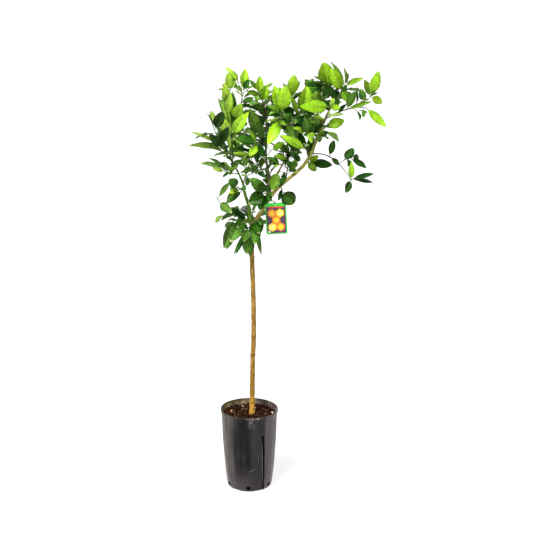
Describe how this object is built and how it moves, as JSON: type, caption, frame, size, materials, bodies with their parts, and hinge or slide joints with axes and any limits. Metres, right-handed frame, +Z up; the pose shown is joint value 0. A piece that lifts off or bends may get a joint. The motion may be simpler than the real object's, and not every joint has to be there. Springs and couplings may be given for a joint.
{
  "type": "potted navelate orange tree",
  "caption": "Young citrus tree on a slim bare trunk with an open, lopsided leafy crown, standing in a round black nursery pot with a hanging label.",
  "frame": {"origin": "centre of the pot's flat underside, which stands on the ground", "axes": "+Z up along the trunk, -Y towards the viewer, +X to the viewer's right"},
  "size_m": [0.6415, 0.3845, 1.4651],
  "materials": {
    "pot_plastic": "thin black moulded polypropylene, dusty, half matte",
    "soil": "dark moist peat compost with crumbs and chips",
    "bark": "smooth tan young citrus bark, finely streaked lengthways",
    "green_bark": "young green bark, satin",
    "grey_bark": "grey brown bark, matte",
    "foliage": "leathery citrus leaves, glossy above, lime green when young and deep green when old",
    "label_card": "glossy printed plastic card",
    "tie_plastic": "thin black plastic tie"
  },
  "bodies": {
    "root": {"pot": "pot_plastic", "soil": "soil", "trunk": "bark", "bough_right": "bark", "bough_left": "green_bark", "bough_far_left": "green_bark", "bough_mid": "grey_bark", "bough_back": "bark", "left_spire": "foliage", "left_crest": "foliage", "left_fan": "foliage", "left_mid": "foliage", "skirt_left": "foliage", "skirt_front": "foliage", "skirt_right": "foliage", "skirt_back": "foliage", "left_inner": "foliage", "mid_shade": "foliage", "mid_crest": "foliage", "mid_low": "foliage", "centre_fan": "foliage", "centre_low": "foliage", "round_leaf": "foliage", "bough_low": "foliage", "bough_leaf": "foliage", "bough_inner": "foliage", "bough_bright": "foliage", "bough_outer": "foliage", "far_right": "foliage", "top_cluster": "foliage", "droop": "foliage", "back_right": "foliage", "back_left": "foliage", "back_crest": "foliage", "back_high": "foliage", "back_upper_left": "foliage", "label": "label_card", "label_tie": "tie_plastic"}
  },
  "joints": []
}
